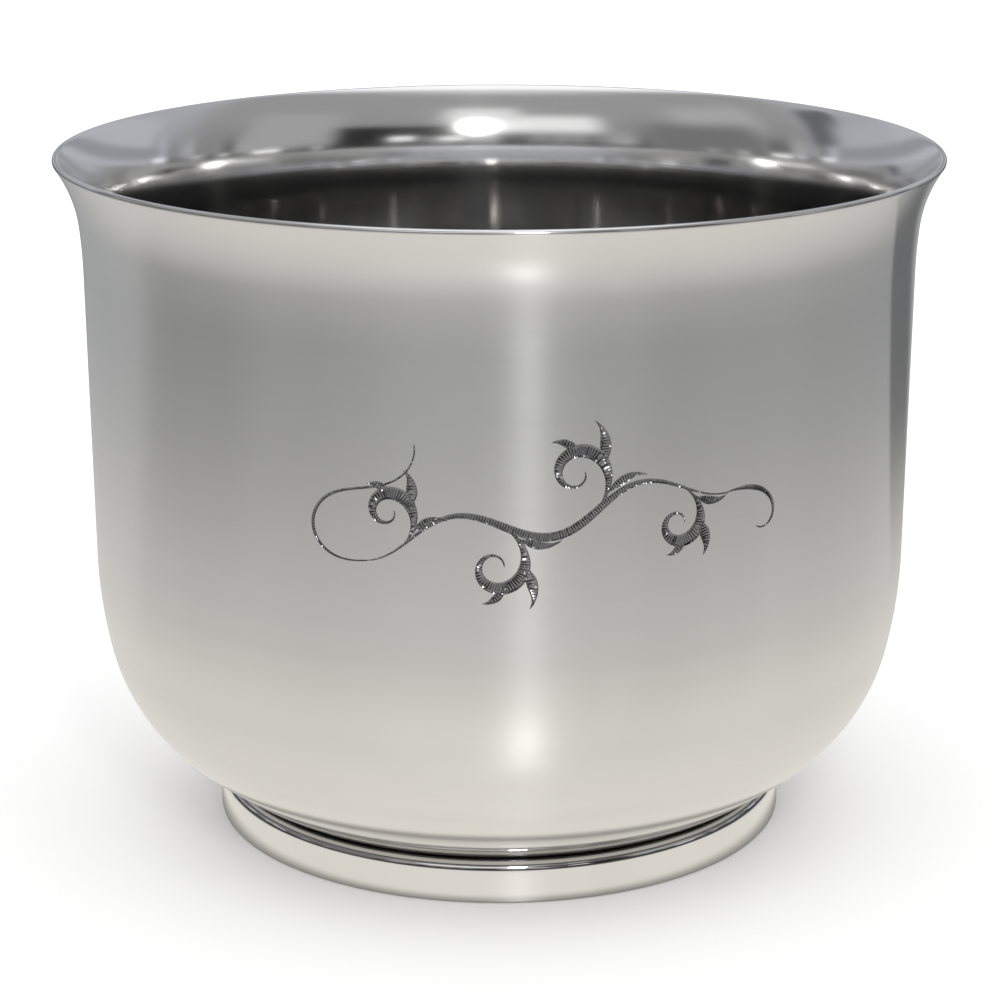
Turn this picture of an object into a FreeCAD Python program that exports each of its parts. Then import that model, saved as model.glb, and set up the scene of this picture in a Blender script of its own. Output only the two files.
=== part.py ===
"""Footed champagne bucket: a spun bowl soldered into a hollow foot ring. Millimetres, +Z up, table at Z = 0.

Every piece is turned about the Z axis. Its section is drawn in the XZ plane, where X is the radius.
Slopes are angles from the vertical, and a turn is how far an arc swings from one slope to the next.
"""
import FreeCAD, Part
import math
import os

import Sketcher
from FreeCAD import Vector

SHEET = "sizes"
START, END, CENTRE = 1, 2, 3
LEFT, RIGHT = 1, -1

# alias, value (mm, degrees or a plain ratio), what it is
SIZES = [
    ("overall_height", 202.6, "table to the top of the lip"),
    ("body_diameter", 243.1, "outside, at the foot of the straight wall"),
    ("metal", 1.9, "gauge of the bowl's metal"),
    ("wall_slope", 0.53, "how far the straight wall leans outwards"),
    ("throat_radius", 141.0, "gentle arc that starts the flare, on its outside"),
    ("throat_turn", 5.65, "its turn"),
    ("lip_radius", 40.8, "tighter arc that ends the flare, on its outside"),
    ("lip_turn", 27.9, "its turn"),
    ("haunch_turn", 12.7, "turn of the arc under the straight wall"),
    ("haunch_ratio", 2.42, "its radius over the belly's"),
    ("belly_turn", 37.8, "turn of the belly, the tightest arc of the bowl"),
    ("skirt_turn", 7.4, "turn of the arc from the belly down to the foot"),
    ("skirt_ratio", 3.04, "its radius over the belly's"),
    ("base_clearance", 5.0, "table to the underside of the bowl's flat bottom"),
    ("foot_diameter", 172.6, "outside of the foot's band"),
    ("foot_height", 12.4, "table to the top of the foot's shoulder"),
    ("foot_metal", 1.8, "gauge of the foot's metal"),
    ("shoulder_radius", 3.0, "round over the top of the band, on its outside"),
    ("foot_edge_radius", 0.8, "round on the band's lower outside edge"),
    ("flange_turn", 9.0, "how far the foot's flange follows the bowl's heel"),
    ("solder_leg", 1.5, "solder fillet, along the bowl and along the flange's end"),
    ("wire_width", 3.2, "base wire, across"),
    ("wire_height", 3.0, "base wire, upright"),
    ("wire_round", 1.6, "round on the base wire's inner top edge"),
]

# The same places on the bowl and the foot, worked out once from the sizes.
HAUNCH_SLOPE = "(sizes.wall_slope + sizes.haunch_turn)"
BELLY_SLOPE = f"({HAUNCH_SLOPE} + sizes.belly_turn)"
SEAT_SLOPE = f"({BELLY_SLOPE} + sizes.skirt_turn)"
FOOT_RADIUS = "(sizes.foot_diameter / 2)"


def cosine(angle):
    return f"cos({angle} * 1 deg)"


def sine(angle):
    return f"sin({angle} * 1 deg)"


SEAT_R = f"({FOOT_RADIUS} - sizes.shoulder_radius * (1 + {cosine(SEAT_SLOPE)}))"
SEAT_Z = f"(sizes.foot_height - sizes.shoulder_radius * (1 - {sine(SEAT_SLOPE)}))"
HEEL_RADIUS = f"(({SEAT_Z} - sizes.base_clearance) / (1 - {sine(SEAT_SLOPE)}))"
HEEL_CENTRE_R = f"({SEAT_R} - {HEEL_RADIUS} * {cosine(SEAT_SLOPE)})"
HEEL_CENTRE_Z = f"(sizes.base_clearance + {HEEL_RADIUS})"
FLANGE_END_SLOPE = f"({SEAT_SLOPE} + sizes.flange_turn)"
SOLDER_TURN = f"(sizes.solder_leg / {HEEL_RADIUS} * 180 / pi)"
SOLDER_END_SLOPE = f"({FLANGE_END_SLOPE} + {SOLDER_TURN})"


def heel_point(slope):
    """The place on the heel's outside where it has this slope: its radius and its height."""
    radius = f"({HEEL_CENTRE_R} + {HEEL_RADIUS} * {cosine(slope)})"
    height = f"({HEEL_CENTRE_Z} - {HEEL_RADIUS} * {sine(slope)})"
    return radius, height


# The bowl swings in from the wall to the seat in three arcs, whose radii keep their ratios to the belly's.
BELLY_RADIUS = (
    f"((sizes.body_diameter / 2 - {SEAT_R}) / ("
    f"sizes.haunch_ratio * ({cosine('sizes.wall_slope')} - {cosine(HAUNCH_SLOPE)})"
    f" + {cosine(HAUNCH_SLOPE)} - {cosine(BELLY_SLOPE)}"
    f" + sizes.skirt_ratio * ({cosine(BELLY_SLOPE)} - {cosine(SEAT_SLOPE)})))"
)


def make_sheet(doc):
    """The spreadsheet of driving sizes, one row each."""
    sheet = doc.addObject("Spreadsheet::Sheet", SHEET)
    for row, (alias, value, note) in enumerate(SIZES, 1):
        sheet.set(f"A{row}", alias)
        sheet.set(f"B{row}", str(value))
        sheet.set(f"C{row}", note)
        sheet.setAlias(f"B{row}", alias)
    doc.recompute()
    return sheet


class Section:
    """A section drawn as one run of lines and arcs. Each is drawn where its sizes put it, then constrained."""

    def __init__(self, body, name, start, heading):
        plane = next(f for f in body.Origin.OriginFeatures if f.Role == "XZ_Plane")
        self.sketch = body.newObject("Sketcher::SketchObject", name)
        self.sketch.AttachmentSupport = (plane, [""])
        self.sketch.MapMode = "FlatFace"
        self.sheet = body.Document.getObject(SHEET)
        self.point = Vector(self.number(start[0]), self.number(start[1]), 0)
        self.heading = math.radians(self.number(heading))
        self.last = None

    def number(self, expression):
        """An expression's value now, which places the first drawing."""
        value = self.sheet.evalExpression(str(expression))
        return float(getattr(value, "Value", value))

    def add(self, geometry, first, joint):
        """Adds one piece of the run. first is its end that the run comes in at; joint is how it meets the last one."""
        index = self.sketch.addGeometry(geometry, False)
        if self.last is not None and joint:
            self.sketch.addConstraint(Sketcher.Constraint(joint, self.last[0], self.last[1], index, first))
        self.last = (index, END if first == START else START)
        return index

    def line(self, length, joint="Tangent"):
        step = Vector(math.cos(self.heading), math.sin(self.heading), 0) * length
        end = self.point + step
        index = self.add(Part.LineSegment(self.point, end), START, joint)
        self.point = end
        return index

    def line_to(self, end):
        """A line to a point, meeting the last piece at a corner."""
        step = end - self.point
        self.heading = math.atan2(step.y, step.x)
        return self.line(step.Length, joint="Coincident")

    def arc(self, side, radius, turn, joint="Tangent"):
        """An arc that swings LEFT or RIGHT by turn degrees; radius and turn are numbers here."""
        across = Vector(-math.sin(self.heading), math.cos(self.heading), 0) * side
        centre = self.point + across * radius
        swing = math.radians(turn) * side
        come = self.heading - side * math.pi / 2
        go = come + swing
        circle = Part.Circle(centre, Vector(0, 0, 1), radius)
        low, high = (come, go) if side == LEFT else (go, come)
        index = self.add(Part.ArcOfCircle(circle, low, high), START if side == LEFT else END, joint)
        self.point = centre + Vector(math.cos(go), math.sin(go), 0) * radius
        self.heading += swing
        return index

    def turn(self, degrees):
        self.heading += math.radians(degrees)

    def fix(self, kind, *where, to):
        """A dimension bound to an expression of the sheet."""
        index = self.sketch.addConstraint(Sketcher.Constraint(kind, *where, self.drawn(kind, to)))
        self.sketch.setExpression(f"Constraints[{index}]", str(to))

    def drawn(self, kind, to):
        value = self.number(to)
        return math.radians(value) if kind == "Angle" else value

    def fix_arc(self, index, radius, turn):
        self.fix("Radius", index, to=radius)
        self.fix("Angle", index, to=turn)

    def tie(self, kind, *where):
        self.sketch.addConstraint(Sketcher.Constraint(kind, *where))

    def at(self, index, end, r=None, z=None):
        """Fixes a point's radius, its height, or both."""
        if r is not None:
            self.fix("DistanceX", -1, START, index, end, to=r)
        if z is not None:
            self.fix("DistanceY", -1, START, index, end, to=z)


def turned(body, sketch):
    """The section turned a full circle about Z."""
    solid = body.newObject("PartDesign::Revolution", f"{body.Name}_turned")
    solid.Profile = sketch
    solid.ReferenceAxis = (sketch, ["V_Axis"])
    solid.Angle = 360
    sketch.Visibility = False
    return solid


def new_body(doc, name):
    body = doc.addObject("PartDesign::Body", name)
    body.Label = name
    return body


def make_bowl(doc):
    """The bowl: one sheet from the flat bottom out through heel, skirt, belly and haunch to wall, throat and lip."""
    body = new_body(doc, "bowl")
    s = Section(body, "bowl_section", ("0", "sizes.base_clearance"), "0")
    n = s.number
    metal = n("sizes.metal")
    heel_turn = 90 - n(SEAT_SLOPE)
    belly, heel = n(BELLY_RADIUS), n(HEEL_RADIUS)
    ratio_haunch, ratio_skirt = n("sizes.haunch_ratio"), n("sizes.skirt_ratio")
    turns = {k: n(f"sizes.{k}_turn") for k in ("skirt", "belly", "haunch", "throat", "lip")}
    throat, lip = n("sizes.throat_radius"), n("sizes.lip_radius")

    flat_out = s.line(n(HEEL_CENTRE_R), joint=None)
    heel_out = s.arc(LEFT, heel, heel_turn)
    skirt_out = s.arc(LEFT, belly * ratio_skirt, turns["skirt"])
    belly_out = s.arc(LEFT, belly, turns["belly"])
    haunch_out = s.arc(LEFT, belly * ratio_haunch, turns["haunch"])
    wall_foot_z = s.point.y
    slope = math.radians(n("sizes.wall_slope"))
    slopes = [slope, slope + math.radians(turns["throat"])]
    slopes.append(slopes[-1] + math.radians(turns["lip"]))
    flare_height = throat * (math.sin(slopes[1]) - math.sin(slopes[0]))
    flare_height += lip * (math.sin(slopes[2]) - math.sin(slopes[1]))
    flare_height += metal / 2 * (1 + math.sin(slopes[2]))
    wall_length = (n("sizes.overall_height") - flare_height - wall_foot_z) / math.cos(slope)
    wall_out = s.line(wall_length)
    throat_out = s.arc(RIGHT, throat, turns["throat"])
    lip_out = s.arc(RIGHT, lip, turns["lip"])
    edge = s.arc(LEFT, metal / 2, 180)
    lip_in = s.arc(LEFT, lip + metal, turns["lip"])
    throat_in = s.arc(LEFT, throat + metal, turns["throat"])
    wall_in = s.line(wall_length)
    haunch_in = s.arc(RIGHT, belly * ratio_haunch - metal, turns["haunch"])
    belly_in = s.arc(RIGHT, belly - metal, turns["belly"])
    skirt_in = s.arc(RIGHT, belly * ratio_skirt - metal, turns["skirt"])
    heel_in = s.arc(RIGHT, heel - metal, heel_turn)
    flat_in = s.line(n(HEEL_CENTRE_R))
    s.turn(90)
    axis = s.line(metal, joint="Coincident")

    s.tie("Coincident", axis, END, flat_out, START)
    s.tie("Horizontal", flat_out)
    s.tie("Horizontal", flat_in)
    s.tie("PointOnObject", axis, START, -2)
    s.at(flat_out, START, r="0", z="sizes.base_clearance")
    s.at(skirt_out, START, r=SEAT_R, z=SEAT_Z)
    s.fix_arc(skirt_out, f"{BELLY_RADIUS} * sizes.skirt_ratio", "sizes.skirt_turn")
    s.fix_arc(belly_out, BELLY_RADIUS, "sizes.belly_turn")
    s.fix_arc(haunch_out, f"{BELLY_RADIUS} * sizes.haunch_ratio", "sizes.haunch_turn")
    s.fix_arc(throat_out, "sizes.throat_radius", "sizes.throat_turn")
    s.fix_arc(lip_out, "sizes.lip_radius", "sizes.lip_turn")
    s.fix("Angle", wall_out, to="90 - sizes.wall_slope")
    s.fix("Radius", edge, to="sizes.metal / 2")
    s.at(edge, CENTRE, z="sizes.overall_height - sizes.metal / 2")
    s.fix("Distance", axis, to="sizes.metal")
    for outside, inside in (
        (lip_out, lip_in), (throat_out, throat_in), (haunch_out, haunch_in),
        (belly_out, belly_in), (skirt_out, skirt_in), (heel_out, heel_in),
    ):
        s.tie("Coincident", outside, CENTRE, inside, CENTRE)
    turned(body, s.sketch)
    return body


def make_foot_ring(doc):
    """The foot: an upright band, a rounded shoulder, and a flange that lies against the bowl's heel."""
    body = new_body(doc, "foot_ring")
    s = Section(body, "foot_ring_section", (f"{FOOT_RADIUS} - sizes.foot_metal", "0"), "0")
    n = s.number
    metal, edge_radius = n("sizes.foot_metal"), n("sizes.foot_edge_radius")
    shoulder, flange_turn = n("sizes.shoulder_radius"), n("sizes.flange_turn")
    shoulder_turn = 180 - n(SEAT_SLOPE)
    shoulder_z = n("sizes.foot_height") - shoulder

    sole = s.line(metal - edge_radius, joint=None)
    edge = s.arc(LEFT, edge_radius, 90)
    band_out = s.line(shoulder_z - edge_radius)
    shoulder_out = s.arc(LEFT, shoulder, shoulder_turn)
    flange_out = s.arc(RIGHT, n(HEEL_RADIUS), flange_turn)
    s.turn(90)
    flange_end = s.line(metal, joint="Perpendicular")
    s.turn(90)
    flange_in = s.arc(LEFT, n(HEEL_RADIUS) + metal, flange_turn, joint="Coincident")
    shoulder_in = s.arc(RIGHT, shoulder - metal, shoulder_turn)
    band_in = s.line(shoulder_z)

    s.tie("Coincident", band_in, END, sole, START)
    s.tie("Horizontal", sole)
    s.tie("Vertical", band_out)
    s.tie("Vertical", band_in)
    s.at(sole, START, z="0")
    s.fix("Radius", edge, to="sizes.foot_edge_radius")
    s.at(band_out, END, r=FOOT_RADIUS)
    s.fix("Radius", shoulder_out, to="sizes.shoulder_radius")
    s.fix("Radius", flange_out, to=HEEL_RADIUS)
    s.at(flange_out, CENTRE, r=HEEL_CENTRE_R, z=HEEL_CENTRE_Z)
    s.fix("Angle", flange_out, to="sizes.flange_turn")
    s.fix("Distance", flange_end, to="sizes.foot_metal")
    s.tie("Coincident", flange_out, CENTRE, flange_in, CENTRE)
    s.tie("Coincident", shoulder_out, CENTRE, shoulder_in, CENTRE)
    turned(body, s.sketch)
    return body


def make_solder_fillet(doc):
    """The solder in the corner between the flange's end and the bowl's heel, with a flat face."""
    body = new_body(doc, "foot_solder_fillet")
    end_r, end_z = heel_point(FLANGE_END_SLOPE)
    s = Section(body, "solder_section", heel_point(SOLDER_END_SLOPE), f"90 - {SOLDER_END_SLOPE}")
    n = s.number
    start = s.point

    heel_side = s.arc(LEFT, n(HEEL_RADIUS), n(SOLDER_TURN), joint=None)
    s.turn(-90)
    flange_side = s.line(n("sizes.solder_leg"), joint="Perpendicular")
    face = s.line_to(start)

    s.tie("Coincident", face, END, heel_side, START)
    s.at(heel_side, CENTRE, r=HEEL_CENTRE_R, z=HEEL_CENTRE_Z)
    s.at(heel_side, END, r=end_r, z=end_z)
    s.fix("Angle", heel_side, to=SOLDER_TURN)
    s.fix("Distance", flange_side, to="sizes.solder_leg")
    turned(body, s.sketch)
    return body


def make_base_wire(doc):
    """The square wire inside the band's lower edge, rounded on its inner top edge, flush with the band below."""
    body = new_body(doc, "foot_base_wire")
    s = Section(body, "wire_section", (f"{FOOT_RADIUS} - sizes.foot_metal - sizes.wire_width", "0"), "0")
    n = s.number
    sole = s.line(n("sizes.wire_width"), joint=None)
    s.turn(90)
    outside = s.line(n("sizes.wire_height"), joint="Coincident")
    s.turn(90)
    top = s.line(n("sizes.wire_width") - n("sizes.wire_round"), joint="Coincident")
    corner = s.arc(LEFT, n("sizes.wire_round"), 90)
    inside = s.line(n("sizes.wire_height") - n("sizes.wire_round"))

    s.tie("Coincident", inside, END, sole, START)
    s.tie("Horizontal", sole)
    s.tie("Horizontal", top)
    s.tie("Vertical", outside)
    s.tie("Vertical", inside)
    s.at(sole, END, r=f"{FOOT_RADIUS} - sizes.foot_metal", z="0")
    s.fix("Distance", sole, to="sizes.wire_width")
    s.fix("Distance", outside, to="sizes.wire_height")
    s.fix("Radius", corner, to="sizes.wire_round")
    turned(body, s.sketch)
    return body


def check(doc, bodies):
    """Stops the build if anything failed to recompute, a section is loose, or a piece isn't one sound solid."""
    failed = [o.Name for o in doc.Objects if {"Invalid", "Error"} & set(o.State)]
    if failed:
        raise RuntimeError(f"failed to recompute: {failed}")
    sections = [o for o in doc.Objects if o.TypeId == "Sketcher::SketchObject"]
    loose = [section.Name for section in sections if not section.FullyConstrained]
    if loose:
        raise RuntimeError(f"not fully constrained: {loose}")
    for body in bodies:
        shape = body.Shape
        if shape.isNull() or not shape.isValid() or len(shape.Solids) != 1 or shape.Volume <= 0:
            raise RuntimeError(f"{body.Label} is not one sound solid")


def main():
    doc = FreeCAD.newDocument("champagne_bucket")
    make_sheet(doc)
    bodies = [make(doc) for make in (make_bowl, make_foot_ring, make_solder_fillet, make_base_wire)]
    doc.recompute()
    check(doc, bodies)
    os.makedirs("parts", exist_ok=True)
    for body in bodies:
        body.Shape.exportStep(f"parts/{body.Label}.step")
        box = body.Shape.optimalBoundingBox(False)
        print(f"{body.Label}: {box.XLength:.2f} across, Z {box.ZMin:.2f} to {box.ZMax:.2f}, {body.Shape.Volume:.0f} mm3")


main()
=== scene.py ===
"""A footed champagne bucket, spun and engraved: its finished surfaces and its studio. Metres, +Z up."""
import logging
import math
from dataclasses import dataclass, field
from enum import Enum

import bpy
import numpy as np
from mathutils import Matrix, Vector
from mathutils.geometry import delaunay_2d_cdt


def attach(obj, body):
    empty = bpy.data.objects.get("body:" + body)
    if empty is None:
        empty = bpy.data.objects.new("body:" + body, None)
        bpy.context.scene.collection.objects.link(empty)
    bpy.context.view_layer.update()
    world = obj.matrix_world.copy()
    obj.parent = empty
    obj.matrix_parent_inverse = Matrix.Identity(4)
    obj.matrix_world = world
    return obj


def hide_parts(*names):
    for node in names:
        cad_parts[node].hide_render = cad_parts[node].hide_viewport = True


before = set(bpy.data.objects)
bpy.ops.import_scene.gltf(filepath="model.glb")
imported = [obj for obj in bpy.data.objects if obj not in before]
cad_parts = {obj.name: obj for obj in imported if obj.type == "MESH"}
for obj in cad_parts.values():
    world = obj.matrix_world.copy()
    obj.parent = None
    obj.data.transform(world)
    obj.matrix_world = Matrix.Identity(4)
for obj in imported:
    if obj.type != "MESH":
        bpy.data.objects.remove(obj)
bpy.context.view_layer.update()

LOG = logging.getLogger("champagne_bucket")
MM = 0.001
BODY = "root"
WELD = 2e-6
FRONT_SEAM = math.pi
RUN = "run"
CUT = "cut"
NUMBER = "number"
ROUNDING = 1 / 8192
FINE_PITCH = 0.25


class Side(Enum):
    """Which way an arc of a section swings, looking along the way it is drawn."""

    LEFT = 1
    RIGHT = -1


# ----------------------------------------------------------------------------------------------------------
# Node trees as Python expressions
# ----------------------------------------------------------------------------------------------------------


class Value:
    """A socket that takes part in arithmetic: each operation adds a Math node to its tree."""

    def __init__(self, tree: "Tree", socket: bpy.types.NodeSocket) -> None:
        """Keeps the socket and the tree that it belongs to."""
        self.tree = tree
        self.socket = socket

    def math(self, operation: str, *values: "Value | float") -> "Value":
        """Adds one Math node.

        Args:
            operation: the Math node's operation.
            values: its inputs, in order.

        Returns:
            The node's result.
        """
        node = self.tree.add("ShaderNodeMath", {"operation": operation}, dict(enumerate(values)))
        return Value(self.tree, node.outputs[0])

    def __add__(self, other: "Value | float") -> "Value":
        """self + other."""
        return self.math("ADD", self, other)

    __radd__ = __add__

    def __sub__(self, other: "Value | float") -> "Value":
        """self - other."""
        return self.math("SUBTRACT", self, other)

    def __rsub__(self, other: "Value | float") -> "Value":
        """other - self."""
        return self.math("SUBTRACT", other, self)

    def __mul__(self, other: "Value | float") -> "Value":
        """self * other."""
        return self.math("MULTIPLY", self, other)

    __rmul__ = __mul__

    def __truediv__(self, other: "Value | float") -> "Value":
        """self / other."""
        return self.math("DIVIDE", self, other)

    def __pow__(self, other: "Value | float") -> "Value":
        """self to the power other."""
        return self.math("POWER", self, other)

    def __neg__(self) -> "Value":
        """-self."""
        return self.math("MULTIPLY", self, -1.0)

    def __mod__(self, other: "Value | float") -> "Value":
        """self modulo other."""
        return self.math("MODULO", self, other)

    def floor(self) -> "Value":
        """The whole number below."""
        return self.math("FLOOR", self)

    def sin(self) -> "Value":
        """Sine, in radians."""
        return self.math("SINE", self)

    def cos(self) -> "Value":
        """Cosine, in radians."""
        return self.math("COSINE", self)

    def above(self, other: "Value | float") -> "Value":
        """1 where self is greater than other, else 0."""
        return self.math("GREATER_THAN", self, other)

    def direction(self, other: "Value") -> "Value":
        """The angle in degrees whose tangent is self / other, all the way round."""
        return self.math("ARCTAN2", self, other) * math.degrees(1.0)

    def exp(self) -> "Value":
        """e to the power self."""
        return self.math("EXPONENT", self)

    def rise(self, low: float, high: float) -> "Value":
        """A smooth step.

        Args:
            low: where it leaves 0.
            high: where it reaches 1.

        Returns:
            0 below low, 1 above high, smooth between.
        """
        node = self.tree.add(
            "ShaderNodeMapRange",
            {"interpolation_type": "SMOOTHSTEP"},
            {"Value": self, "From Min": low, "From Max": high},
        )
        return Value(self.tree, node.outputs["Result"])

    def bump_at(self, centre: float, half: float, soft: float) -> "Value":
        """1 within half of centre, falling smoothly to 0 over soft beyond it."""
        away = self.math("ABSOLUTE", self - centre)
        return 1.0 - away.rise(half, half + soft)


class Tree:
    """A shader or geometry node tree that is written as code."""

    def __init__(self, tree: bpy.types.NodeTree) -> None:
        """Starts from an empty tree."""
        self.tree = tree
        tree.nodes.clear()

    def add(self, kind: str, settings: dict | None = None, inputs: dict | None = None) -> bpy.types.Node:
        """Adds one node.

        Args:
            kind: the node's type.
            settings: its properties, set before its sockets are touched.
            inputs: numbers, colours or links for its sockets, by name or by number.

        Returns:
            The node.
        """
        node = self.tree.nodes.new(kind)
        for name, setting in (settings or {}).items():
            setattr(node, name, setting)
        for name, value in (inputs or {}).items():
            self.feed(node.inputs[name], value)
        return node

    def feed(self, socket: bpy.types.NodeSocket, value: object) -> None:
        """Links a socket, or sets its own value.

        Args:
            socket: the input.
            value: a Value, a node output, or a plain value.
        """
        if isinstance(value, Value):
            self.tree.links.new(value.socket, socket)
        elif isinstance(value, bpy.types.NodeSocket):
            self.tree.links.new(value, socket)
        else:
            socket.default_value = value

    def value(
        self, kind: str, output: str | int = 0, settings: dict | None = None, inputs: dict | None = None
    ) -> Value:
        """Adds a node and wraps one of its outputs.

        Args:
            kind: the node's type.
            output: the output's name or number.
            settings: the node's properties.
            inputs: its sockets' values or links.

        Returns:
            The output as a Value.
        """
        return Value(self, self.add(kind, settings, inputs).outputs[output])

    def split(self, vector: "Value | bpy.types.NodeSocket") -> tuple[Value, Value, Value]:
        """A vector's three parts."""
        node = self.add("ShaderNodeSeparateXYZ", None, {0: vector})
        return tuple(Value(self, socket) for socket in node.outputs)

    def mix(self, factor: "Value | float", first: object, second: object) -> bpy.types.NodeSocket:
        """A colour between two colours.

        Args:
            factor: 0 gives the first, 1 the second.
            first: a colour or a link.
            second: a colour or a link.

        Returns:
            The mixed colour's socket.
        """
        node = self.add("ShaderNodeMix", {"data_type": "RGBA"})
        colours_in = [socket for socket in node.inputs if socket.type == "RGBA"]
        self.feed(node.inputs[0], factor)
        self.feed(colours_in[0], first)
        self.feed(colours_in[1], second)
        return next(socket for socket in node.outputs if socket.type == "RGBA")


class GeometryTree(Tree):
    """A geometry node group with named inputs, which works on one object and then leaves a plain mesh."""

    def __init__(self, name: str) -> None:
        """Makes the group, with its geometry going in and out.

        Args:
            name: the group's name.
        """
        group = bpy.data.node_groups.new(name, "GeometryNodeTree")
        super().__init__(group)
        group.is_modifier = True
        group.interface.new_socket("Geometry", in_out="OUTPUT", socket_type="NodeSocketGeometry")
        group.interface.new_socket("Geometry", in_out="INPUT", socket_type="NodeSocketGeometry")
        self.start = group.nodes.new("NodeGroupInput")
        self.identifiers: dict[str, str] = {}

    def size(self, name: str, kind: str = "NodeSocketFloat") -> Value:
        """A named input of the group.

        Args:
            name: the input's name.
            kind: its socket type.

        Returns:
            The input, ready for arithmetic.
        """
        item = self.tree.interface.new_socket(name, in_out="INPUT", socket_type=kind)
        self.identifiers[name] = item.identifier
        socket = next(socket for socket in self.start.outputs if socket.identifier == item.identifier)
        return Value(self, socket)

    def geometry(self) -> bpy.types.NodeSocket:
        """The geometry that comes in."""
        return self.start.outputs[0]

    def store(
        self, geometry: bpy.types.NodeSocket, kind: str, name: str, value: Value
    ) -> bpy.types.NodeSocket:
        """Stores a value on every point.

        Args:
            geometry: the geometry.
            kind: the attribute's data type.
            name: its name.
            value: what is stored.

        Returns:
            The geometry with its attribute.
        """
        stored = self.add(
            "GeometryNodeStoreNamedAttribute",
            {"data_type": kind, "domain": "POINT"},
            {"Geometry": geometry, "Name": name, "Value": value},
        )
        return stored.outputs[0]

    def set_round(
        self, geometry: bpy.types.NodeSocket, radius: Value, angle: Value, height: Value
    ) -> bpy.types.NodeSocket:
        """Sets every point round the upright axis.

        Args:
            geometry: the geometry.
            radius: each point's distance from the axis.
            angle: its angle from the front, in radians.
            height: its height.

        Returns:
            The geometry with its points moved.
        """
        places = {0: radius * angle.sin(), 1: -radius * angle.cos(), 2: height}
        place = self.add("ShaderNodeCombineXYZ", None, places).outputs[0]
        moved = self.add("GeometryNodeSetPosition", None, {"Geometry": geometry, "Position": place})
        return moved.outputs[0]

    def end(self, geometry: bpy.types.NodeSocket, finish: Value) -> None:
        """Realizes instances, sets the material and closes the tree.

        Args:
            geometry: what the tree has made.
            finish: the material.
        """
        real = self.add("GeometryNodeRealizeInstances", None, {0: geometry}).outputs[0]
        dressed = self.add("GeometryNodeSetMaterial", None, {"Geometry": real, "Material": finish})
        self.add("NodeGroupOutput", None, {0: dressed.outputs[0]})

    def apply(self, obj: bpy.types.Object, sizes: dict[str, object], name: str) -> bpy.types.Object:
        """Runs the tree on an object and returns the result as a plain mesh object.

        Args:
            obj: the object that carries the drawing; it is removed.
            sizes: a value for each named input.
            name: the new object's name.

        Returns:
            The finished object, at the origin.
        """
        modifier = obj.modifiers.new(name, "NODES")
        modifier.node_group = self.tree
        for key, value in sizes.items():
            modifier[self.identifiers[key]] = value
        graph = bpy.context.evaluated_depsgraph_get()
        shaped = obj.evaluated_get(graph)
        mesh = bpy.data.meshes.new_from_object(shaped, preserve_all_data_layers=True, depsgraph=graph)
        bpy.data.objects.remove(obj)
        mesh.name = name
        mesh.materials.clear()
        mesh.materials.append(sizes["Finish"])
        mesh.polygons.foreach_set("material_index", [0] * len(mesh.polygons))
        if NUMBER in mesh.attributes:
            mesh.attributes.remove(mesh.attributes[NUMBER])
        made = bpy.data.objects.new(name, mesh)
        bpy.context.scene.collection.objects.link(made)
        return made


# ----------------------------------------------------------------------------------------------------------
# Drawing sections and turning them
# ----------------------------------------------------------------------------------------------------------


@dataclass
class Section:
    """A turned piece's section, drawn as one run of lines and arcs, in metres and degrees."""

    radius: float
    height: float
    heading: float = 0.0
    points: list[tuple[float, float]] = field(default_factory=list)

    def __post_init__(self) -> None:
        """Puts the pen down."""
        self.points.append((self.radius, self.height))

    def _go(self, radius: float, height: float) -> None:
        """Draws to the next point."""
        self.radius, self.height = radius, height
        self.points.append((radius, height))

    def line(self, length: float, steps: int = 1) -> "Section":
        """A straight run along the heading, in equal steps.

        Args:
            length: how far it goes.
            steps: how many steps it is drawn in.

        Returns:
            This section.
        """
        start = (self.radius, self.height)
        for step in range(1, steps + 1):
            along = length * step / steps
            self._go(
                start[0] + along * math.cos(math.radians(self.heading)),
                start[1] + along * math.sin(math.radians(self.heading)),
            )
        return self

    def arc(self, side: Side, radius: float, turn: float, steps: int) -> "Section":
        """An arc that leaves along the heading and swings to one side.

        Args:
            side: the side it swings to.
            radius: its radius.
            turn: how far it swings.
            steps: how many chords it is drawn with.

        Returns:
            This section.
        """
        across = math.radians(self.heading + 90 * side.value)
        centre = (self.radius + radius * math.cos(across), self.height + radius * math.sin(across))
        start = across + math.pi
        for step in range(1, steps + 1):
            angle = start + side.value * math.radians(turn) * step / steps
            self._go(centre[0] + radius * math.cos(angle), centre[1] + radius * math.sin(angle))
        self.heading += side.value * turn
        return self

    def close(self) -> "Section":
        """Draws straight back to the first point."""
        self._go(*self.points[0])
        return self

    def runs(self) -> list[float]:
        """How far each point is along the section."""
        steps = [math.dist(a, b) for a, b in zip(self.points, self.points[1:])]
        return [0.0, *np.cumsum(steps).tolist()]

    def drawing(self, name: str) -> bpy.types.Object:
        """The section as an object of loose points, each with its distance along the run.

        Args:
            name: the object's name.

        Returns:
            The object.
        """
        mesh = bpy.data.meshes.new(name)
        mesh.from_pydata([(r, 0.0, z) for r, z in self.points], [], [])
        mesh.attributes.new(RUN, "FLOAT", "POINT").data.foreach_set("value", self.runs())
        drawn = bpy.data.objects.new(name, mesh)
        bpy.context.scene.collection.objects.link(drawn)
        return drawn


@dataclass(frozen=True)
class Window:
    """The patch of a turned surface, in whole columns and rows, that another mesh fills."""

    first_column: int = 0
    columns: int = 0
    first_row: int = 0
    rows: int = 0


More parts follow.
